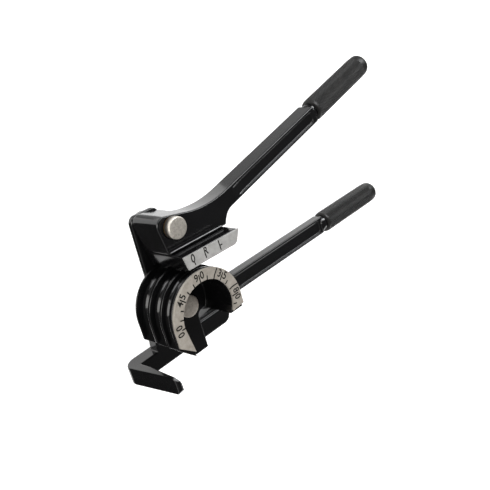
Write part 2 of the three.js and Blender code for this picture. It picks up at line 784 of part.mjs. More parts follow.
const leverGroup = new THREE.Group();
place(leverGroup, 'lever', lever(), blackPaint);
const leverBush = ring(shankRadius + gap, bushRadius, bossBack, leverFront);
place(leverGroup, 'lever_bush', leverBush.translate(atPin), bronze);
place(leverGroup, 'shoe', shoe(), blackPaint);
const indexPlan = shoePlan(shoeFrontBottom, footHeight - gap);
const indexPlate = plate(indexPlan, dialBack, dialFront, turnedEdge / 2);
place(leverGroup, 'index_plate', indexPlate, bareMetal);
shoePinXs.forEach((x, index) => {
  const pin = shoePinAt(x, shoePinRadius, shoeBack + gap, wheelFront);
  place(leverGroup, `shoe_pin_${index + 1}`, pin, pinSteel);
});
const upperGrip = ontoBar(grip().translate([leverBarEnd + gap, 0, leverMiddle]));
place(leverGroup, 'upper_grip', upperGrip, gripPaint);

linkGroup.add(leverGroup);
linkGroup.rotation.z = restTurn;

const tubeBender = new THREE.Group();
tubeBender.add(base, linkGroup);

export default tubeBender;
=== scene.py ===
# %% [markdown]
# A hand tube bender. Two long handles meet at a grooved half wheel. A hook stands beside the
# wheel, and the shoe on the upper handle swings round it on a link. The imported solids are loaded
# first, and every piece here is made in their place, in metres. The tool lies on its back, so the
# wheel's axis is Z and the dial looks up.

# %% The frame
import json
import math

import bpy
from mathutils import Matrix, Vector


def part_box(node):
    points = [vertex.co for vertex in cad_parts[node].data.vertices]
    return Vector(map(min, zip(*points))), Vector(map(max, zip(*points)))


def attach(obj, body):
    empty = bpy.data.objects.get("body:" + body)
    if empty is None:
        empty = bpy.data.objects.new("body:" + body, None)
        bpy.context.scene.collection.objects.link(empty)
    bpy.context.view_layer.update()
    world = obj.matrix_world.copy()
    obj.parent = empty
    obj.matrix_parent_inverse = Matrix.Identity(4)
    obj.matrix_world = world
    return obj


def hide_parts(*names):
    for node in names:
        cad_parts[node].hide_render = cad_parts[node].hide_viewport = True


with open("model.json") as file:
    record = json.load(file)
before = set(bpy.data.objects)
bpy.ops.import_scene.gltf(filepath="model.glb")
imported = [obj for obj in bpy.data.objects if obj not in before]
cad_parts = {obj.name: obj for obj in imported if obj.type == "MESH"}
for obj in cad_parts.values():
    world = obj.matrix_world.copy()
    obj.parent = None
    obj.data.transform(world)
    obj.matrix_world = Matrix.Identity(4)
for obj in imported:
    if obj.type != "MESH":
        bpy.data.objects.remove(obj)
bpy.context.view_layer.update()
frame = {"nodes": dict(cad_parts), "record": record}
nodes = frame["nodes"]
body_of_node = {
    node: body
    for body, members in frame["record"]["behaviour"]["bodies"].items()
    for node in members
}
MM = 0.001

# %% [markdown]
# The camera comes next, so that every finish can be judged from where the photograph was taken. It
# stands to the left of the tool and above its dial, and looks along the handles towards the grips.
# Its place was found from the wheel's ellipse, the two pins and the lines of the bars.

# %% The camera
CAMERA_PLACE = Vector((-0.1894, 0.1629, 0.3201))
CAMERA_TURN = [math.radians(angle) for angle in (-8.451, -43.868, -19.771)]
LENS, SENSOR_WIDTH = 49.96, 36     # millimetres

camera_data = bpy.data.cameras.new("camera")
camera_data.lens = LENS
camera_data.sensor_width = SENSOR_WIDTH
camera = bpy.data.objects.new("camera", camera_data)
camera.location = CAMERA_PLACE
camera.rotation_euler = CAMERA_TURN
bpy.context.scene.collection.objects.link(camera)
bpy.context.scene.camera = camera
print("camera to wheel", round(CAMERA_PLACE.length, 4), "m")

# %% [markdown]
# The floor is a plain white sheet under the tool, and the tool is lit by soft lamps. In the
# photograph the background is pure white with hardly a shadow. More light would wash the black
# paint out, so the sheet shines only for the camera and for reflections, and its own paint still
# takes the shadow.

# %% Helpers for node trees
def add_node(tree, kind, inputs=None, **settings):
    """A shader node with its settings, and its inputs set to values or joined to sockets."""
    node = tree.nodes.new(kind)
    for name, value in settings.items():
        setattr(node, name, value)
    for name, value in (inputs or {}).items():
        if isinstance(value, bpy.types.NodeSocket):
            tree.links.new(value, node.inputs[name])
        else:
            node.inputs[name].default_value = value
    return node


def background_rays(tree):
    """1 for rays from the camera and for rays mirrored or bent by a piece."""
    path = add_node(tree, "ShaderNodeLightPath")
    seen_or_mirrored = add_node(tree, "ShaderNodeMath", {
        0: path.outputs["Is Camera Ray"], 1: path.outputs["Is Glossy Ray"],
    }, operation="MAXIMUM")
    return add_node(tree, "ShaderNodeMath", {
        0: seen_or_mirrored.outputs[0], 1: path.outputs["Is Transmission Ray"],
    }, operation="MAXIMUM").outputs[0]


# %% The floor
FLOOR_SIZE = 8.0             # metres
FLOOR_SHINE = 0.92
FLOOR_COLOUR = (0.5, 0.5, 0.5, 1)
PAPER_ROUGHNESS = 0.9

bpy.ops.object.select_all(action="DESELECT")
floor_height = min(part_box(node)[0].z for node in nodes)
bpy.ops.mesh.primitive_plane_add(size=FLOOR_SIZE, location=(0, 0, floor_height))
floor = bpy.context.object
floor.name = "floor"
floor_sheet = bpy.data.materials.new("floor_sheet")
floor_sheet.use_nodes = True
floor_tree = floor_sheet.node_tree
floor_shader = floor_tree.nodes["Principled BSDF"]
floor_shader.inputs["Base Color"].default_value = FLOOR_COLOUR
floor_shader.inputs["Roughness"].default_value = PAPER_ROUGHNESS
floor_shader.inputs["Emission Color"].default_value = (1, 1, 1, 1)
floor_glow = add_node(floor_tree, "ShaderNodeMath", {
    0: background_rays(floor_tree), 1: FLOOR_SHINE,
}, operation="MULTIPLY")
floor_tree.links.new(floor_glow.outputs[0], floor_shader.inputs["Emission Strength"])
floor.data.materials.append(floor_sheet)
print("floor at", round(floor_height / MM, 2), "mm")

# %% [markdown]
# Gloss black shows what it reflects, and over a white sheet all of it would look grey.
# Photographers lay black cards beside such a tool, just outside the picture, so that its sides turn
# black and only its edges shine. The same is done here with flat cards on the sheet and two that
# stand far off. The grey ones soften the light tops. They show in reflections only: the camera
# doesn't see them and they take no light away.

# %% Black and grey cards, by their corners in millimetres
CARD_LIFT = 0.05             # millimetres above the sheet
CARD_COLOUR = (0.02, 0.02, 0.02, 1)
GREY_SHINE = 0.58

black_cards = {
    "left_of_the_wheel": [
        (-150, 72), (-34, 72), (-20, 58), (-9, 48), (-7, 27), (-22, 12), (-38, -26), (-38, -130),
        (-150, -130),
    ],
    "between_the_handles": [(46, 14), (225, 14), (225, 66), (66, 34)],
    "past_the_upper_handle": [
        (-60, 150), (40, 150), (80, 112), (300, 166), (900, 166), (900, 900), (-60, 900),
    ],
    "past_the_lower_handle": [
        (22, -24), (60, -30), (140, -45), (900, -150), (900, -800), (300, -420), (22, -110),
    ],
}
grey_cards = {
    "beside_the_upper_handle": [(62, 66), (250, 113), (250, 152), (70, 104)],
    "beside_the_eye": [(-5, 62), (24, 62), (24, 80), (-5, 80)],
}
standing_cards = {
    "behind_the_handles": [(1300, 200, 0), (100, 1300, 0), (100, 1300, 330), (1300, 200, 330)],
    "right_of_the_wheel": [(1100, -800, 0), (1100, 100, 0), (1100, 100, 350), (1100, -800, 350)],
}


def card_paper(name, shine):
    """Card that a reflection shows as black, or as grey where it has some shine."""
    paper = bpy.data.materials.new(name)
    paper.use_nodes = True
    shader = paper.node_tree.nodes["Principled BSDF"]
    shader.inputs["Base Color"].default_value = CARD_COLOUR
    shader.inputs["Roughness"].default_value = PAPER_ROUGHNESS
    shader.inputs["Emission Color"].default_value = (1, 1, 1, 1)
    shader.inputs["Emission Strength"].default_value = shine
    return paper


def lay_card(name, corners, paper):
    """A card that shows in reflections only, from its corners in millimetres over the sheet."""
    mesh = bpy.data.meshes.new(name)
    places = [(x * MM, y * MM, z * MM + floor_height) for x, y, z in corners]
    mesh.from_pydata(places, [], [range(len(corners))])
    mesh.materials.append(paper)
    card = bpy.data.objects.new(name, mesh)
    bpy.context.scene.collection.objects.link(card)
    card.visible_camera = card.visible_shadow = card.visible_diffuse = False


black_paper, grey_paper = card_paper("black_paper", 0), card_paper("grey_paper", GREY_SHINE)
for cards, paper in ((black_cards, black_paper), (grey_cards, grey_paper)):
    for name, corners in cards.items():
        lay_card(name, [(x, y, CARD_LIFT) for x, y in corners], paper)
for name, corners in standing_cards.items():
    lay_card(name, corners, black_paper)
print("cards", len(black_cards), "black", len(grey_cards), "grey", len(standing_cards), "standing")

# %% [markdown]
# The room is the world around the scene. It is light near the horizon and dim overhead, so the
# front faces, which mirror what is overhead, stay dark. Mirrored rays see a horizon of full white,
# like the sheet's far end, and the camera sees white everywhere. A plain white world would be
# simpler, but the black paint would then look grey from every side.

# %% The room around the tool
HORIZON_LIGHT = 0.85
OVERHEAD_LIGHT = 0.12
ROOM_FADE = (0.08, 0.45)   # heights of a direction between which the room goes from light to dim

room = bpy.data.worlds.new("studio")
room.use_nodes = True
bpy.context.scene.world = room
room_tree = room.node_tree
direction = add_node(room_tree, "ShaderNodeTexCoord")
height = add_node(room_tree, "ShaderNodeSeparateXYZ", {"Vector": direction.outputs["Generated"]})
fade = add_node(room_tree, "ShaderNodeMapRange", {
    "Value": height.outputs["Z"], "From Min": ROOM_FADE[0], "From Max": ROOM_FADE[1],
    "To Max": OVERHEAD_LIGHT,
})
seen = add_node(room_tree, "ShaderNodeLightPath")
mirrored = add_node(room_tree, "ShaderNodeMath", {
    0: seen.outputs["Is Glossy Ray"], 1: seen.outputs["Is Transmission Ray"],
}, operation="MAXIMUM")
low_light = add_node(room_tree, "ShaderNodeMapRange", {
    "Value": mirrored.outputs[0], "To Min": HORIZON_LIGHT, "To Max": 1.0,
})
room_tree.links.new(low_light.outputs["Result"], fade.inputs["To Min"])
level = add_node(room_tree, "ShaderNodeMath", {
    0: fade.outputs["Result"], 1: seen.outputs["Is Camera Ray"],
}, operation="MAXIMUM")
room_tree.links.new(level.outputs[0], room_tree.nodes["Background"].inputs["Strength"])
room_tree.nodes["Background"].inputs["Color"].default_value = (1, 1, 1, 1)
bpy.context.scene.view_settings.view_transform = "Standard"
print("room light from", HORIZON_LIGHT, "to", OVERHEAD_LIGHT)

# %% [markdown]
# Four large soft lamps draw the long highlights along the grooves, the bars and the rounded edges:
# a lamp shows in gloss paint as a shape, so each one's place and size matter more than its power.
# A fifth, in front, lights the dial and the pins. It is kept out of reflections, because it would
# draw a thin line along every fillet of the wheel's cup.

# %% Soft lamps
AIM = Vector((0.03, 0.01, 0.03))


def soft_lamp(name, place, size, power, colour):
    """A rectangular soft lamp that looks at the tool. Its size is in metres, its power in watts."""
    data = bpy.data.lights.new(name, "AREA")
    data.shape = "RECTANGLE"
    data.size, data.size_y = size
    data.energy = power
    data.color = colour
    lamp = bpy.data.objects.new(name, data)
    lamp.location = place
    lamp.rotation_euler = (AIM - Vector(place)).to_track_quat("-Z", "Y").to_euler()
    bpy.context.scene.collection.objects.link(lamp)
    return lamp


soft_lamp("lamp_left", (-0.75, 0.30, 0.38), (0.5, 0.7), 6.0, (1, 0.985, 0.96))
soft_lamp("lamp_back", (0.65, 0.72, 0.47), (0.8, 0.3), 8.0, (0.97, 0.985, 1))
soft_lamp("lamp_right", (0.64, -0.66, 0.21), (0.6, 0.4), 1.6, (0.99, 0.99, 1))
soft_lamp("lamp_top", (0.05, 0.85, 0.75), (0.9, 0.5), 7.0, (0.98, 0.99, 1))
front = soft_lamp("lamp_front", (-0.35, -0.2, 0.95), (0.5, 0.5), 6.4, (1, 0.97, 0.93))
front.visible_glossy = False
print("lamps", [light.name for light in bpy.data.lights])

# %% [markdown]
# Most of the tool is a black enamelled casting. Its front faces are almost black, and only edges
# and faces that look towards the white sheet turn grey, so the paint is dark with a moderate gloss
# level. A sand casting is never quite flat: a fine grain and a slow waviness under the paint break
# up the reflections. Colour could be one flat value, but then close views look like plastic.

# %% Helpers for finishes
def new_finish(name):
    """A named material with its tree and shader."""
    finish = bpy.data.materials.new(name)
    finish.use_nodes = True
    return finish, finish.node_tree, finish.node_tree.nodes["Principled BSDF"]


def place_on_object(tree, stretch=(1, 1, 1), turn=0):
    """Object coordinates, stretched along the axes and turned about Z."""
    place = add_node(tree, "ShaderNodeTexCoord")
    return add_node(tree, "ShaderNodeMapping", {
        "Vector": place.outputs["Object"], "Scale": stretch, "Rotation": (0, 0, turn),
    }).outputs["Vector"]


def grain(tree, place, size, detail=2.0, roughness=0.5):
    """Cloudy noise whose patches are about the given size in metres."""
    return add_node(tree, "ShaderNodeTexNoise", {
        "Vector": place, "Scale": 1 / size, "Detail": detail, "Roughness": roughness,
    }).outputs["Fac"]


def between(tree, factor, low, high, low_at=0.3, high_at=0.7):
    """A number from low to high as the factor goes from low_at to high_at."""
    return add_node(tree, "ShaderNodeMapRange", {
        "Value": factor, "From Min": low_at, "From Max": high_at, "To Min": low, "To Max": high,
    }).outputs["Result"]


def blend_colours(tree, factor, first, second):
    """A colour from the first to the second as the factor goes from 0 to 1."""
    mix = add_node(tree, "ShaderNodeMix", data_type="RGBA")
    tree.links.new(factor, mix.inputs["Factor"])
    for socket, colour in (("A", first), ("B", second)):
        target = [one for one in mix.inputs if one.name == socket and one.type == "RGBA"][0]
        if isinstance(colour, bpy.types.NodeSocket):
            tree.links.new(colour, target)
        else:
            target.default_value = (*colour, 1)
    return [one for one in mix.outputs if one.type == "RGBA"][0]


def add_bump(tree, shader, height, depth, below=None, strength=1.0):
    """A bump of the given depth in metres, laid over another one or straight on the shader."""
    node = add_node(tree, "ShaderNodeBump", {
        "Height": height, "Distance": depth, "Strength": strength,
    })
    if below is not None:
        tree.links.new(below, node.inputs["Normal"])
    tree.links.new(node.outputs["Normal"], shader.inputs["Normal"])
    return node.outputs["Normal"]


# %% Black enamel of the castings
CLOUD_DARKNESS = 0.7         # the paint's darkest patches, as a share of its colour


def black_enamel(name, base, gloss_level, roughness, grain_depth, wave_depth):
    """Black paint on a sand casting. Roughness is a range, and the depths are in millimetres."""
    finish, tree, shader = new_finish(name)
    place = place_on_object(tree)
    cloud = grain(tree, place, 9 * MM, 3)
    fine = grain(tree, place, 0.9 * MM, 3, 0.6)
    wave = grain(tree, place, 5 * MM, 1)
    dark = tuple(CLOUD_DARKNESS * part for part in base)
    colour = blend_colours(tree, between(tree, cloud, 0, 1), dark, base)
    tree.links.new(colour, shader.inputs["Base Color"])
    tree.links.new(between(tree, fine, *roughness), shader.inputs["Roughness"])
    shader.inputs["Specular IOR Level"].default_value = gloss_level
    below = add_bump(tree, shader, wave, wave_depth * MM)
    add_bump(tree, shader, fine, grain_depth * MM, below)
    return finish


enamel = black_enamel(
    "black_enamel", (0.003, 0.003, 0.0034), gloss_level=0.5, roughness=(0.1, 0.2),
    grain_depth=0.003, wave_depth=0.05,
)
wheel_enamel = black_enamel(
    "wheel_enamel", (0.0025, 0.0025, 0.0028), gloss_level=0.4, roughness=(0.1, 0.18),
    grain_depth=0.002, wave_depth=0.02,
)
print("enamels", enamel.name, wheel_enamel.name)

# %% [markdown]
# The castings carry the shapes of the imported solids, but a casting has no knife edges: every
# corner is rounded and every joint between two walls has a small fillet. A bevel would need each
# edge picked by hand. A fine voxel remesh of a merged copy makes one even skin instead, and a few
# rounds of smoothing melt its edges and corners by about the same radius everywhere, just as the
# mould does.

# %% Helpers for copies of the solids
MERGE_DISTANCE = 0.001 * MM


def select_only(obj):
    """Makes an object the only selected one, and the active one."""
    bpy.ops.object.select_all(action="DESELECT")
    obj.select_set(True)
    bpy.context.view_layer.objects.active = obj


def merged_copy(node, name):
    """A new piece with a solid's shape, its loose triangles joined to one skin."""
    piece = bpy.data.objects.new(name, nodes[node].data.copy())
    piece.data.name = name
    piece.data.materials.clear()
    bpy.context.scene.collection.objects.link(piece)
    select_only(piece)
    bpy.ops.object.mode_set(mode="EDIT")
    bpy.ops.mesh.select_all(action="SELECT")
    bpy.ops.mesh.remove_doubles(threshold=MERGE_DISTANCE)
    bpy.ops.object.mode_set(mode="OBJECT")
    if piece.data.has_custom_normals:
        bpy.ops.mesh.customdata_custom_splitnormals_clear()
    return piece


def stand_for(piece, node, finish=None):
    """The piece takes a solid's place: it rides on the same body, and the solid is hidden. The
    finish is left out where the piece has its own already."""
    if finish is not None:
        piece.data.materials.append(finish)
    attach(piece, body_of_node[node])
    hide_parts(node)
    print(piece.name, "stands for", node, "with", len(piece.data.polygons), "faces")
    return piece


def apply_modifier(piece, kind, **settings):
    """Adds a modifier with its settings and applies it."""
    modifier = piece.modifiers.new(kind.lower(), kind)
    for name, value in settings.items():
        setattr(modifier, name, value)
    select_only(piece)
    bpy.ops.object.modifier_apply(modifier=modifier.name)


def select_nothing_in(piece, kind):
    """Sets edit mode to vertices, edges or faces, and leaves none of them selected."""
    select_only(piece)
    bpy.ops.object.mode_set(mode="EDIT")
    bpy.ops.mesh.select_mode(type=kind)
    bpy.ops.mesh.select_all(action="DESELECT")
    bpy.ops.object.mode_set(mode="OBJECT")


# %% A helper for the castings
FINE_SKIN = 0.33 * MM        # size of a skin's squares
LINK_SKIN = 0.35 * MM
SHOE_SKIN = 0.32 * MM
SKIN_KEPT = 0.5              # share of the triangles that stays: the flats need only a few
SMOOTHING = 0.5              # how far a round of smoothing goes


def cast(piece, node, finish, skin, rounds):
    """A cast piece: an even skin over the solid, its edges melted and its flats thinned out."""
    apply_modifier(piece, "REMESH", mode="VOXEL", voxel_size=skin, use_smooth_shade=True)
    squares = len(piece.data.polygons)
    apply_modifier(piece, "SMOOTH", factor=SMOOTHING, iterations=rounds)
    apply_modifier(piece, "DECIMATE", decimate_type="COLLAPSE", ratio=SKIN_KEPT)
    print(piece.name, "skin of", squares, "squares")
    select_only(piece)
    bpy.ops.object.shade_smooth()
    return stand_for(piece, node, finish)


# %% [markdown]
# Two castings are touched up before they get their skins. The hook's finger has a rounded tip on
# the real tool, and behind the wheel's leg its arm is a little higher. A cube turned by 45 degrees
# cuts each corner of the tip away, and a low block joined to the arm makes the rise: the remesh
# takes both into the one skin. In the wheel's cup, the boss under the pin is drawn in with a
# resize, which is simpler than a cut and keeps it hidden under the pin's head.

# %% The handle casting: corners off the finger's tip, and a low rise on the arm
FINGER_END, ARM_TOP, ARM_BOTTOM = 44.5, -26.0, -37.0   # millimetres
TIP_CUT = 2.6                # off each corner
TIP_MIDDLE = -26.5           # of the finger, left of the axis
CUTTER_SIZE = 8
RISE_LOW, RISE_HIGH = (15.5, ARM_TOP - 1, 0.8), (36, ARM_TOP + 2, 9.7)   # the rise's corners

handle_shape = merged_copy("handle_casting", "cast_handle")
for side in (ARM_TOP, ARM_BOTTOM):
    bpy.ops.mesh.primitive_cube_add(
        size=CUTTER_SIZE * MM, location=(TIP_MIDDLE * MM, side * MM, FINGER_END * MM),
        rotation=(math.radians(45), 0, 0),
    )
    corner = bpy.context.object
    outwards = Vector((0, 1 if side == ARM_TOP else -1, 1)).normalized()
    corner.location += outwards * (CUTTER_SIZE / 2 - TIP_CUT / math.sqrt(2)) * MM
    bpy.ops.object.transform_apply(location=True, rotation=True, scale=True)
    apply_modifier(handle_shape, "BOOLEAN", operation="DIFFERENCE", solver="EXACT", object=corner)
    bpy.data.objects.remove(corner)

rise_size = [high - low for low, high in zip(RISE_LOW, RISE_HIGH)]
rise_middle = [(low + high) / 2 * MM for low, high in zip(RISE_LOW, RISE_HIGH)]
bpy.ops.mesh.primitive_cube_add(size=MM, location=rise_middle, scale=rise_size)
rise = bpy.context.object
bpy.ops.object.transform_apply(location=True, scale=True)
select_only(handle_shape)
rise.select_set(True)
bpy.ops.object.join()
cast(handle_shape, "handle_casting", enamel, FINE_SKIN, rounds=6)

# %% The wheel: the boss in its cup is kept under the pin's head
BOSS_RADIUS, BOSS_KEPT = 8.0, 6.2   # millimetres
RADIUS_MATCH = 0.02          # how near to the boss's radius a corner has to be
CUP_START = 20               # height above which only the boss in the cup has that radius

wheel_shape = merged_copy("forming_wheel", "cast_wheel")
select_nothing_in(wheel_shape, "VERT")
for vertex in wheel_shape.data.vertices:
    radius = math.hypot(vertex.co.x, vertex.co.y) / MM
    vertex.select = abs(radius - BOSS_RADIUS) < RADIUS_MATCH and vertex.co.z > CUP_START * MM
moved = sum(vertex.select for vertex in wheel_shape.data.vertices)
bpy.ops.object.mode_set(mode="EDIT")
ratio = BOSS_KEPT / BOSS_RADIUS
bpy.ops.transform.resize(value=(ratio, ratio, 1), center_override=(0, 0, 0))
bpy.ops.object.mode_set(mode="OBJECT")
print("boss corners moved", moved)
cast(wheel_shape, "forming_wheel", wheel_enamel, FINE_SKIN, rounds=4)

# %% The other castings
cast(merged_copy("lever", "cast_lever"), "lever", enamel, FINE_SKIN, rounds=6)
cast(merged_copy("link", "cast_link"), "link", enamel, LINK_SKIN, rounds=4)
cast(merged_copy("shoe", "cast_shoe"), "shoe", wheel_enamel, SHOE_SKIN, rounds=3)

# %% [markdown]
# The dial ring and the index plate are bare metal, ground flat after casting, with numbers and
# lines stamped into them and filled with black. The marks could be painted on by a material, but
# real stamping has walls that catch the light, so each mark is cut out of the plate as a solid.

# %% Bare metal and the marks' filling
PLATE_METALLIC = 0.35        # worn and dull, so it is more of a grey than a mirror
PIT_DARKNESS = 0.72          # colour of the pits, as a share of the dull patches'


def bare_metal(name, light, dark, streaks, turn):
    """Ground metal: fine streaks along one direction, and a few dull patches."""
    finish, tree, shader = new_finish(name)
    fine = grain(tree, place_on_object(tree, streaks, turn), 0.7 * MM, 4, 0.65)
    patches = grain(tree, place_on_object(tree), 3.2 * MM, 3, 0.6)
    speckle = grain(tree, place_on_object(tree), 0.35 * MM, 2)
    worn = blend_colours(tree, between(tree, patches, 0, 1, 0.35, 0.7), light, dark)
    pits = tuple(PIT_DARKNESS * part for part in dark)
    spotted = blend_colours(tree, between(tree, speckle, 0, 0.55, 0.56, 0.72), worn, pits)
    tree.links.new(spotted, shader.inputs["Base Color"])
    tree.links.new(between(tree, fine, 0.38, 0.58), shader.inputs["Roughness"])
    shader.inputs["Metallic"].default_value = PLATE_METALLIC
    below = add_bump(tree, shader, fine, 0.02 * MM, strength=0.6)
    add_bump(tree, shader, speckle, 0.015 * MM, below, 0.5)
    return finish


def black_fill():
    """Dull black filling of the marks."""
    finish, tree, shader = new_finish("mark_fill")
    cloud = grain(tree, place_on_object(tree), 0.5 * MM, 2)
    black, worn = (0.004, 0.004, 0.004), (0.014, 0.013, 0.012)
    colour = blend_colours(tree, between(tree, cloud, 0, 1), black, worn)
    tree.links.new(colour, shader.inputs["Base Color"])
    tree.links.new(between(tree, cloud, 0.5, 0.8), shader.inputs["Roughness"])
    shader.inputs["Specular IOR Level"].default_value = 0.2
    return finish


dial_metal = bare_metal(
    "dial_metal", (0.35, 0.323, 0.288), (0.25, 0.228, 0.198), streaks=(1, 4, 1), turn=0.3,
)
index_metal = bare_metal(
    "index_metal", (0.385, 0.382, 0.375), (0.3, 0.297, 0.29), streaks=(5, 1, 1), turn=0.1,
)
mark_fill = black_fill()
print("bare finishes", dial_metal.name, index_metal.name)

# %% Cutters for lines
MARK_DEPTH = 0.3 * MM
MARK_OVER = 0.5 * MM         # how far a cutter stands out of the plate
DIAL_LINE_WIDTH = 0.75 * MM
INDEX_LINE_WIDTH = 0.72 * MM


def mark_line(start, end, top, width):
    """A straight cutter. Its ends are points in millimetres, its width and top are in metres."""
    first, last = Vector((*start, 0)) * MM, Vector((*end, 0)) * MM
    run = last - first
    middle = (first + last) / 2
    low, high = top - MARK_DEPTH, top + MARK_OVER
    bpy.ops.mesh.primitive_cube_add(
        size=1, location=(middle.x, middle.y, (low + high) / 2),
        rotation=(0, 0, math.atan2(run.y, run.x)), scale=(run.length, width, high - low),
    )
    line = bpy.context.object
    bpy.ops.object.transform_apply(location=True, rotation=True, scale=True)
    line.data.materials.append(mark_fill)
    return line


# %% Cutters for numbers and letters
SIGN_BOLD = 0.02             # how far a sign's strokes are widened, as a share of its size
SIGN_CURVE_STEPS = 5
SIGN_MERGE = 1e-5            # distance between corners that are one, before the sign gets its size


def mark_sign(sign, middle, height, turn, top, narrow):
    """A number or letter as a cutter, by its middle and height in millimetres."""
    bpy.ops.object.text_add()
    text = bpy.context.object
    text.data.body = sign
    text.data.extrude = (MARK_DEPTH + MARK_OVER) / 2
    text.data.resolution_u = SIGN_CURVE_STEPS
    text.data.offset = SIGN_BOLD
    bpy.ops.object.convert(target="MESH")
    sign_piece = bpy.context.object
    bpy.ops.object.mode_set(mode="EDIT")
    bpy.ops.mesh.select_all(action="SELECT")
    bpy.ops.mesh.remove_doubles(threshold=SIGN_MERGE)
    bpy.ops.mesh.normals_make_consistent(inside=False)
    bpy.ops.object.mode_set(mode="OBJECT")
    corners = [vertex.co for vertex in sign_piece.data.vertices]
    low = Vector([min(corner[axis] for corner in corners) for axis in range(2)])
    high = Vector([max(corner[axis] for corner in corners) for axis in range(2)])
    centre = (low + high) / 2
    size = height * MM / (high.y - low.y)
    to_origin = Matrix.Translation((-centre.x, -centre.y, 0))
    to_size = Matrix.Diagonal((size * narrow, size, 1, 1))
    lift = top + (MARK_OVER - MARK_DEPTH) / 2
    to_turn = Matrix.Rotation(turn, 4, "Z")
    to_place = Matrix.Translation((middle[0] * MM, middle[1] * MM, lift))
    sign_piece.data.transform(to_place @ to_turn @ to_size @ to_origin)
    sign_piece.data.materials.clear()
    sign_piece.data.materials.append(mark_fill)
    return sign_piece


# %% A helper that cuts the marks
def engrave(piece, cutters):
    """Cuts all the marks out of a plate in one go. Their walls take the cutters' filling."""
    bpy.ops.object.select_all(action="DESELECT")
    for cutter in cutters:
        cutter.select_set(True)
    bpy.context.view_layer.objects.active = cutters[0]
    bpy.ops.object.join()
    cutter = bpy.context.object
    apply_modifier(
        piece, "BOOLEAN", operation="DIFFERENCE", solver="EXACT", object=cutter,
        use_self=True, material_mode="TRANSFER",
    )
    bpy.data.objects.remove(cutter)
    print(piece.name, "engraved,", len(piece.data.polygons), "faces")


# %% The dial ring, with a tick every 15 degrees
DIAL_INNER, DIAL_SIGN_RADIUS, SIGN_HEIGHT = 17.85, 21.4, 4.4   # millimetres
SHORT_TICK, LONG_TICK = 2.3, 4.6
TICK_START = 0.5             # how far a tick's cutter starts inside the ring
TICK_STEP, LONG_TICK_STEP, LAST_TICK = 15, 45, 195   # degrees
SIGN_STEP = 4.1              # between the middles of neighbouring numbers, across a tick
SIGN_STEP_PLAIN = 3.1        # the same with no tick between them
SIGN_NARROW = 0.92
dial_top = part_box("dial_ring")[1].z


def on_dial(angle, radius, aside=0):
    """A point at a dial angle and radius, moved aside along the ring."""
    around = math.radians(180 - angle)
    return (
        radius * math.cos(around) + aside * math.sin(around),
        radius * math.sin(around) - aside * math.cos(around),
    )


dial_cutters = []
for angle in range(0, LAST_TICK + 1, TICK_STEP):
    reach = LONG_TICK if angle % LONG_TICK_STEP == 0 and angle > 0 else SHORT_TICK
    ends = on_dial(angle, DIAL_INNER - TICK_START), on_dial(angle, DIAL_INNER + reach)
    dial_cutters.append(mark_line(*ends, dial_top, DIAL_LINE_WIDTH))
places = [SIGN_STEP / 2, -SIGN_STEP / 2, -SIGN_STEP / 2 - SIGN_STEP_PLAIN]
for angle, signs in ((0, "00"), (45, "45"), (90, "90"), (135, "135"), (180, "180")):
    for sign, aside in zip(reversed(signs), places):
        place = on_dial(angle, DIAL_SIGN_RADIUS, aside)
        turn = math.radians(90 - angle)
        dial_cutters.append(mark_sign(sign, place, SIGN_HEIGHT, turn, dial_top, SIGN_NARROW))
dial_face = merged_copy("dial_ring", "dial_face")
dial_face.data.materials.append(dial_metal)
engrave(dial_face, dial_cutters)
stand_for(dial_face, "dial_ring")

# %% The index plate, with 0, R and L
INDEX_TURN = math.radians(-1.9)
index_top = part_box("index_plate")[1].z


def on_index(x, y):
    """A point of the index plate, given in its own frame, in millimetres."""
    turned = Matrix.Rotation(INDEX_TURN, 2) @ Vector((x, y))
    return turned.x, turned.y


index_lines = [
    ((-1.0, 30.3), (-0.6, 28.3)),      # under the 0
    ((7.1, 31.5), (7.4, 28.7)),        # under the R
    ((17.6, 34.6), (18.2, 28.6)),      # the upright of the L, with its line
    ((17.9, 31.3), (19.9, 31.3)),      # the foot of the L
]
index_cutters = [
    mark_line(on_index(*start), on_index(*end), index_top, INDEX_LINE_WIDTH)
    for start, end in index_lines
]
index_cutters += [
    mark_sign("0", on_index(-1.3, 32.4), 4.9, INDEX_TURN, index_top, narrow=0.85),
    mark_sign("R", on_index(8.2, 32.7), 4.5, INDEX_TURN, index_top, narrow=0.8),
]
index_face = merged_copy("index_plate", "index_face")
index_face.data.materials.append(index_metal)
engrave(index_face, index_cutters)
stand_for(index_face, "index_plate")

# %% [markdown]
# The pins are turned from bar, and their heads, with the dial, are the brightest things on the
# tool: slightly crowned faces with a rounded rim and a mottled, handled look. A profile spun round
# would do; here each ring is pulled out of the last one in edit mode, which keeps the mesh even and
# lets the same helper make the grips.

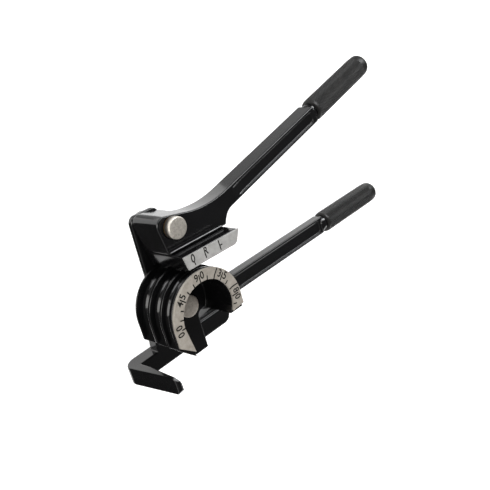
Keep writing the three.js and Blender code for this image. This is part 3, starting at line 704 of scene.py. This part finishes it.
# %% A helper for turned pieces
def turned_piece(name, profile, sides):
    """A closed piece round the Z axis. The profile is radius and height in millimetres, from a
    point on the axis to a point on the axis; each ring is pulled out of the ring before it."""
    first_radius, first_height = profile[1]
    bpy.ops.object.select_all(action="DESELECT")
    bpy.ops.mesh.primitive_circle_add(
        vertices=sides, radius=first_radius * MM, fill_type="NGON",
        location=(0, 0, first_height * MM),
    )
    piece = bpy.context.object
    piece.name = piece.data.name = name
    bpy.ops.object.transform_apply(location=True)
    bpy.ops.object.mode_set(mode="EDIT")
    bpy.ops.mesh.select_mode(type="EDGE")
    bpy.ops.mesh.select_all(action="SELECT")
    bpy.ops.mesh.region_to_loop()
    radius, height = first_radius, first_height
    for next_radius, next_height in profile[2:-1]:
        bpy.ops.mesh.extrude_edges_move(
            TRANSFORM_OT_translate={"value": (0, 0, (next_height - height) * MM)}
        )
        ratio = next_radius / radius
        bpy.ops.transform.resize(value=(ratio, ratio, 1), center_override=(0, 0, next_height * MM))
        radius, height = next_radius, next_height
    bpy.ops.mesh.edge_face_add()
    bpy.ops.mesh.select_all(action="SELECT")
    bpy.ops.mesh.normals_make_consistent(inside=False)
    bpy.ops.object.mode_set(mode="OBJECT")
    return piece


# %% Mottled steel of the pins
# A head's sides turn darker downwards from its face: painted shade, with some real dirt.
UNDARKENED_DEPTH, DARKEST_DEPTH = 0.9, 2.4     # millimetres below a head's face
DIRT_AND_SHADE_SHARE = 0.9
DIRT_AND_SHADE_COLOUR = (0.03, 0.024, 0.02)
PIN_PIT_DARKNESS = 0.6
PIN_METALLIC = 0.75


def pin_finish(name, light, dark, roughness, top=None):
    """Steel with dull patches. Painted shade and some dirt darken a head's sides below top."""
    finish, tree, shader = new_finish(name)
    place = place_on_object(tree)
    mottle = grain(tree, place, 1.5 * MM, 4, 0.6)
    speckle = grain(tree, place, 0.3 * MM, 2)
    colour = blend_colours(tree, between(tree, mottle, 0, 1, 0.35, 0.65), light, dark)
    pits = tuple(PIN_PIT_DARKNESS * part for part in dark)
    spotted = blend_colours(tree, between(tree, speckle, 0, 0.6, 0.55, 0.7), colour, pits)
    # Painted shade with some dirt: darker down the sides of the head, below its face.
    if top is not None:
        height = add_node(tree, "ShaderNodeSeparateXYZ", {"Vector": place}).outputs["Z"]
        darkest_height, undarkened_height = top - DARKEST_DEPTH * MM, top - UNDARKENED_DEPTH * MM
        dirt_and_shade = between(tree, height, DIRT_AND_SHADE_SHARE, 0, darkest_height, undarkened_height)
        spotted = blend_colours(tree, dirt_and_shade, spotted, DIRT_AND_SHADE_COLOUR)
    tree.links.new(spotted, shader.inputs["Base Color"])
    tree.links.new(between(tree, mottle, *roughness), shader.inputs["Roughness"])
    shader.inputs["Metallic"].default_value = PIN_METALLIC
    below = add_bump(tree, shader, mottle, 0.03 * MM, strength=0.4)
    add_bump(tree, shader, speckle, 0.02 * MM, below, 0.5)
    return finish


lever_pin_steel = pin_finish(
    "lever_pin_steel", (0.68, 0.645, 0.585), (0.46, 0.43, 0.385), (0.34, 0.5),
    top=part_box("lever_pin")[1].z,
)
pivot_pin_steel = pin_finish(
    "pivot_pin_steel", (0.47, 0.435, 0.39), (0.33, 0.30, 0.265), (0.4, 0.55),
    top=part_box("pivot_pin")[1].z,
)
plain_steel = pin_finish("plain_steel", (0.5, 0.48, 0.45), (0.36, 0.34, 0.31), (0.35, 0.5))
zinc_plate = pin_finish("zinc_plate", (0.85, 0.84, 0.82), (0.7, 0.69, 0.67), (0.5, 0.65))
print("steels", [one.name for one in (lever_pin_steel, pivot_pin_steel, plain_steel, zinc_plate)])

# %% The two headed pins
PIN_SIDES = 72
SHANK_RADIUS, NECK_RADIUS = 4.0, 3.2    # millimetres
EDGE = 0.4                   # chamfer of the tail and of the head's back
NECK_GAP = 0.3               # between the clip and each shoulder of the neck
RIM_RADIUS, RIM_STEPS = 0.9, 4          # rounding of the head's rim
CROWN_HEIGHT, CROWN_SHOULDER = 0.12, 0.03   # how far rim and shoulder lie under the face's middle
SHOULDER_RING, MIDDLE_RING = 0.55, 0.2      # radii of shoulder and middle, as shares of the head's
PIN_SMOOTH_ANGLE = math.radians(35)
pin_places = {"pivot_pin": Vector((0, 0)), "lever_pin": Vector((1.6014, 48.2734))}


def headed_pin(node, name, head_radius, head_height, clip, finish):
    """A pin from its tail to its crowned head, with the neck that its clip snaps on."""
    low, high = (corner.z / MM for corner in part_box(node))
    clip_low, clip_high = (corner.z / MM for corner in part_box(clip))
    head_low = high - head_height
    neck_low, neck_high = clip_low - NECK_GAP, clip_high + NECK_GAP
    profile = [
        (0, low), (SHANK_RADIUS - EDGE, low), (SHANK_RADIUS, low + EDGE),
        (SHANK_RADIUS, neck_low), (NECK_RADIUS, neck_low),
        (NECK_RADIUS, neck_high), (SHANK_RADIUS, neck_high),
        (SHANK_RADIUS, head_low), (head_radius - EDGE, head_low), (head_radius, head_low + EDGE),
    ]
    for step in range(RIM_STEPS + 1):
        turn = math.radians(90 * step / RIM_STEPS)
        profile.append((
            head_radius - RIM_RADIUS * (1 - math.cos(turn)),
            high - CROWN_HEIGHT - RIM_RADIUS * (1 - math.sin(turn)),
        ))
    profile += [
        (head_radius * SHOULDER_RING, high - CROWN_SHOULDER), (head_radius * MIDDLE_RING, high),
        (0, high),
    ]
    piece = turned_piece(name, profile, PIN_SIDES)
    place = pin_places[node] * MM
    piece.data.transform(Matrix.Translation((place.x, place.y, 0)))
    select_only(piece)
    bpy.ops.object.shade_smooth_by_angle(angle=PIN_SMOOTH_ANGLE)
    return stand_for(piece, node, finish)


headed_pin("pivot_pin", "pivot_pin_turned", 6.4, 4.8, "pivot_clip", pivot_pin_steel)
headed_pin("lever_pin", "lever_pin_turned", 6.1, 4.6, "lever_clip", lever_pin_steel)

# %% [markdown]
# The grips are round bars with a diamond knurl, painted dark grey. On a lathe the knurl is pressed
# in by two wheels whose ridges cross. Here a sleeve of squares is poked and its old edges
# dissolved, which leaves diamonds; each diamond is then inset and raised, so that its flat top and
# its four flanks catch the light. One grip is made along Z, and each handle gets its own copy laid
# along its bar.

# %% The grip's profile
GRIP_RADIUS = 7.6            # millimetres, as all sizes here
GRIP_LENGTH = 61.5
GRIP_BORE, GRIP_BORE_DEPTH = 4.5, 50.3
MOUTH = [(0.7, 0), (0.15, 0.25), (0, 0.8)]   # the open end's edge: depth under the root, height
KNURL_START, KNURL_PITCH, KNURL_ROWS = 1.4, 1.5, 35
KNURL_SIDES = 32
KNURL_DEPTH = 0.26
KNURL_FLAT = 0.42            # width of a diamond's flank, seen from above
GRIP_DOME, DOME_STEPS = 4.5, 6          # rounding of the far end
END_CROWN, END_FLAT = 0.5, 1.2          # height and radius of the flat on the far end


def grip_profile():
    """Bore, open end, the sleeve that will be knurled, and the rounded far end."""
    root = GRIP_RADIUS - KNURL_DEPTH
    profile = [(0, GRIP_BORE_DEPTH), (GRIP_BORE, GRIP_BORE_DEPTH), (GRIP_BORE, 0)]
    profile += [(root - depth, height) for depth, height in MOUTH]
    profile += [(root, KNURL_START + row * KNURL_PITCH) for row in range(KNURL_ROWS + 1)]
    dome_start = GRIP_LENGTH - END_CROWN - GRIP_DOME
    profile.append((root, dome_start))
    for step in range(1, DOME_STEPS + 1):
        turn = math.radians(90 * step / DOME_STEPS)
        profile.append((
            root - GRIP_DOME * (1 - math.cos(turn)), dome_start + GRIP_DOME * math.sin(turn),
        ))
    profile += [(END_FLAT, GRIP_LENGTH), (0, GRIP_LENGTH)]
    return profile


# %% The knurl
EDGE_TOUCH = 1e-6            # metres


def in_knurl(point):
    """Whether a point lies on the knurled length of the grip's outside."""
    knurl_end = KNURL_START + KNURL_ROWS * KNURL_PITCH
    outside = math.hypot(point.x, point.y) > (GRIP_BORE + GRIP_RADIUS) / 2 * MM
    return outside and KNURL_START * MM - EDGE_TOUCH < point.z < knurl_end * MM + EDGE_TOUCH


def is_diamond(face, mesh):
    """A diamond has four corners, at three different heights."""
    heights = {round(mesh.vertices[corner].co.z / MM, 3) for corner in face.vertices}
    return len(face.vertices) == 4 and len(heights) == 3


def knurl(piece):
    """Turns the squares of the knurled length into raised diamonds."""
    mesh = piece.data
    old_corners = len(mesh.vertices)
    select_nothing_in(piece, "FACE")
    for face in mesh.polygons:
        face.select = in_knurl(face.center)
    bpy.ops.object.mode_set(mode="EDIT")
    bpy.ops.mesh.poke()
    bpy.ops.object.mode_set(mode="OBJECT")
    select_nothing_in(piece, "EDGE")
    # Each square is now four triangles. Where two squares met, their old side is taken out, and
    # the two triangles beside it become one diamond.
    faces_at = {}
    for face in mesh.polygons:
        for key in face.edge_keys:
            faces_at.setdefault(key, []).append(face)
    for edge in mesh.edges:
        is_old = max(edge.vertices) < old_corners
        sides = [len(face.vertices) for face in faces_at[edge.key]]
        edge.select = is_old and sides == [3, 3]
    bpy.ops.object.mode_set(mode="EDIT")
    bpy.ops.mesh.dissolve_edges(use_verts=False)
    bpy.ops.object.mode_set(mode="OBJECT")
    select_nothing_in(piece, "FACE")
    for face in mesh.polygons:
        face.select = in_knurl(face.center) and is_diamond(face, mesh)
    diamonds = sum(face.select for face in mesh.polygons)
    bpy.ops.object.mode_set(mode="EDIT")
    bpy.ops.mesh.inset(thickness=KNURL_FLAT * MM, depth=KNURL_DEPTH * MM, use_individual=True)
    bpy.ops.object.mode_set(mode="OBJECT")
    print("diamonds", diamonds)


grip_pattern = turned_piece("grip_pattern", grip_profile(), KNURL_SIDES)
knurl(grip_pattern)

# %% Grip paint
def grip_paint():
    """Dark grey paint, a little worn, with a fine grain."""
    finish, tree, shader = new_finish("grip_paint")
    place = place_on_object(tree)
    cloud = grain(tree, place, 6 * MM, 3)
    fine = grain(tree, place, 0.4 * MM, 2)
    dark, worn = (0.006, 0.006, 0.006), (0.014, 0.0135, 0.013)
    colour = blend_colours(tree, between(tree, cloud, 0, 1), dark, worn)
    tree.links.new(colour, shader.inputs["Base Color"])
    tree.links.new(between(tree, fine, 0.34, 0.5), shader.inputs["Roughness"])
    shader.inputs["Specular IOR Level"].default_value = 0.3
    add_bump(tree, shader, fine, 0.02 * MM, strength=0.5)
    return finish


knurled_paint = grip_paint()
print("paint of the grips", knurled_paint.name)

# %% The two grips
GRIP_SMOOTH_ANGLE = math.radians(25)
LEVER_BAR_TURN = math.radians(15.73) + INDEX_TURN
UPPER_GRIP_START = (0.13328, 0.06896)   # metres, where the lever's bar enters it


def lay_grip(name, node, start, along):
    """A copy of the grip, its axis laid along a direction from its open end."""
    piece = bpy.data.objects.new(name, grip_pattern.data.copy())
    piece.data.name = name
    bpy.context.scene.collection.objects.link(piece)
    turn = Vector(along).to_track_quat("Z", "Y").to_matrix().to_4x4()
    piece.data.transform(Matrix.Translation(start) @ turn)
    select_only(piece)
    bpy.ops.object.shade_smooth_by_angle(angle=GRIP_SMOOTH_ANGLE)
    return stand_for(piece, node, knurled_paint)


lower_low, lower_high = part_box("lower_grip")
lower_middle = (lower_low + lower_high) / 2
lower_start = Vector((lower_low.x, lower_middle.y, lower_middle.z))
lay_grip("grip_lower", "lower_grip", lower_start, (1, 0, 0))
upper_low, upper_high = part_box("upper_grip")
upper_start = Vector((*UPPER_GRIP_START, (upper_low.z + upper_high.z) / 2))
upper_along = Vector((math.cos(LEVER_BAR_TURN), math.sin(LEVER_BAR_TURN), 0))
lay_grip("grip_upper", "upper_grip", upper_start, upper_along)
bpy.data.objects.remove(grip_pattern)

# %% [markdown]
# The small fasteners behind the castings keep their solids: washers, clips, screws and shoe pins
# are plain stampings and turnings already. They only need real metal, zinc plate on the stampings
# and plain steel on the rest, and the bushes a bronze.

# %% Finishes for the carried-over solids
def bronze_finish():
    """Bronze with the fine rings of turning."""
    finish, tree, shader = new_finish("bush_bronze")
    cloud = grain(tree, place_on_object(tree), 1.2 * MM, 3)
    rings = grain(tree, place_on_object(tree, (1, 1, 12)), 1.5 * MM, 2)
    fresh, stained = (0.52, 0.34, 0.16), (0.36, 0.22, 0.10)
    colour = blend_colours(tree, between(tree, cloud, 0, 1), fresh, stained)
    tree.links.new(colour, shader.inputs["Base Color"])
    tree.links.new(between(tree, rings, 0.28, 0.45), shader.inputs["Roughness"])
    shader.inputs["Metallic"].default_value = 0.9
    add_bump(tree, shader, rings, 0.01 * MM, strength=0.5)
    return finish


bronze = bronze_finish()
carried = {
    zinc_plate: ["pivot_washer", "pivot_clip", "lever_washer", "lever_clip"],
    plain_steel: ["wheel_screw_1", "wheel_screw_2", "shoe_pin_1", "shoe_pin_2"],
    bronze: ["pivot_bush", "lever_bush"],
}
for finish, names in carried.items():
    for name in names:
        nodes[name].data.materials.clear()
        nodes[name].data.materials.append(finish)
    print(finish.name, "on", len(names), "solids")
